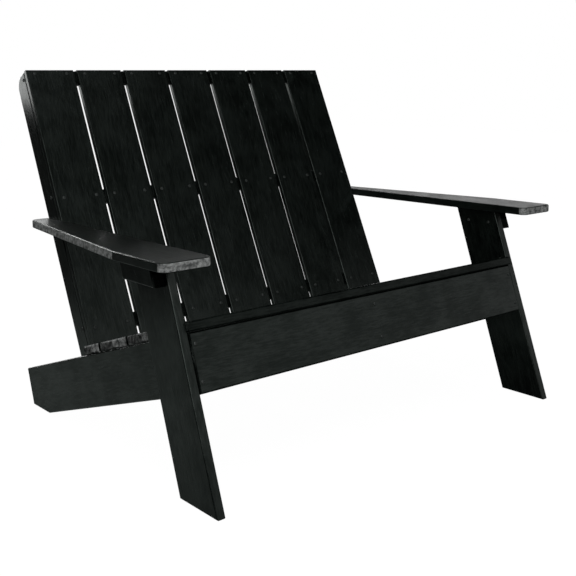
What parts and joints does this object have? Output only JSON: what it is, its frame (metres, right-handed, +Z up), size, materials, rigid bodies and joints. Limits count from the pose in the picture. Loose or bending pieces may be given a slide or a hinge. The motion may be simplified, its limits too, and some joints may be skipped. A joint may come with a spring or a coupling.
{
  "type": "adirondack loveseat",
  "caption": "Rigid two-seat slatted garden chair with a raked back, sloping seat, level tapered arms and stringers that run on to the ground as rear feet.",
  "frame": {"origin": "on the ground, under the centre of the chair's bounding box", "axes": "+Z up, +X along the seat towards the sitter's left, -Y the way the sitter faces"},
  "size_m": [1.286, 0.9688, 0.924],
  "materials": {
    "frame_lumber": "black recycled-plastic lumber with a fine embossed wood grain, satin",
    "slat_lumber": "black recycled-plastic lumber with a fine embossed wood grain, satin",
    "arm_lumber": "black recycled-plastic lumber with a fine embossed wood grain, satin",
    "screw_head": "black coated stainless steel"
  },
  "bodies": {
    "root": {"leg_left": "frame_lumber", "leg_right": "frame_lumber", "arm_left": "arm_lumber", "arm_right": "arm_lumber", "arm_bracket_left": "frame_lumber", "arm_bracket_right": "frame_lumber", "stringer_left": "frame_lumber", "stringer_middle": "frame_lumber", "stringer_right": "frame_lumber", "apron": "frame_lumber", "seat_slat_1": "slat_lumber", "seat_slat_2": "slat_lumber", "seat_slat_3": "slat_lumber", "seat_slat_4": "slat_lumber", "back_slat_1": "slat_lumber", "back_slat_2": "slat_lumber", "back_slat_3": "slat_lumber", "back_slat_4": "slat_lumber", "back_slat_5": "slat_lumber", "back_slat_6": "slat_lumber", "back_slat_7": "slat_lumber", "back_rail_top": "frame_lumber", "back_rail_middle": "frame_lumber", "back_rail_lower": "frame_lumber", "upright_left": "frame_lumber", "upright_right": "frame_lumber"}
  },
  "joints": []
}
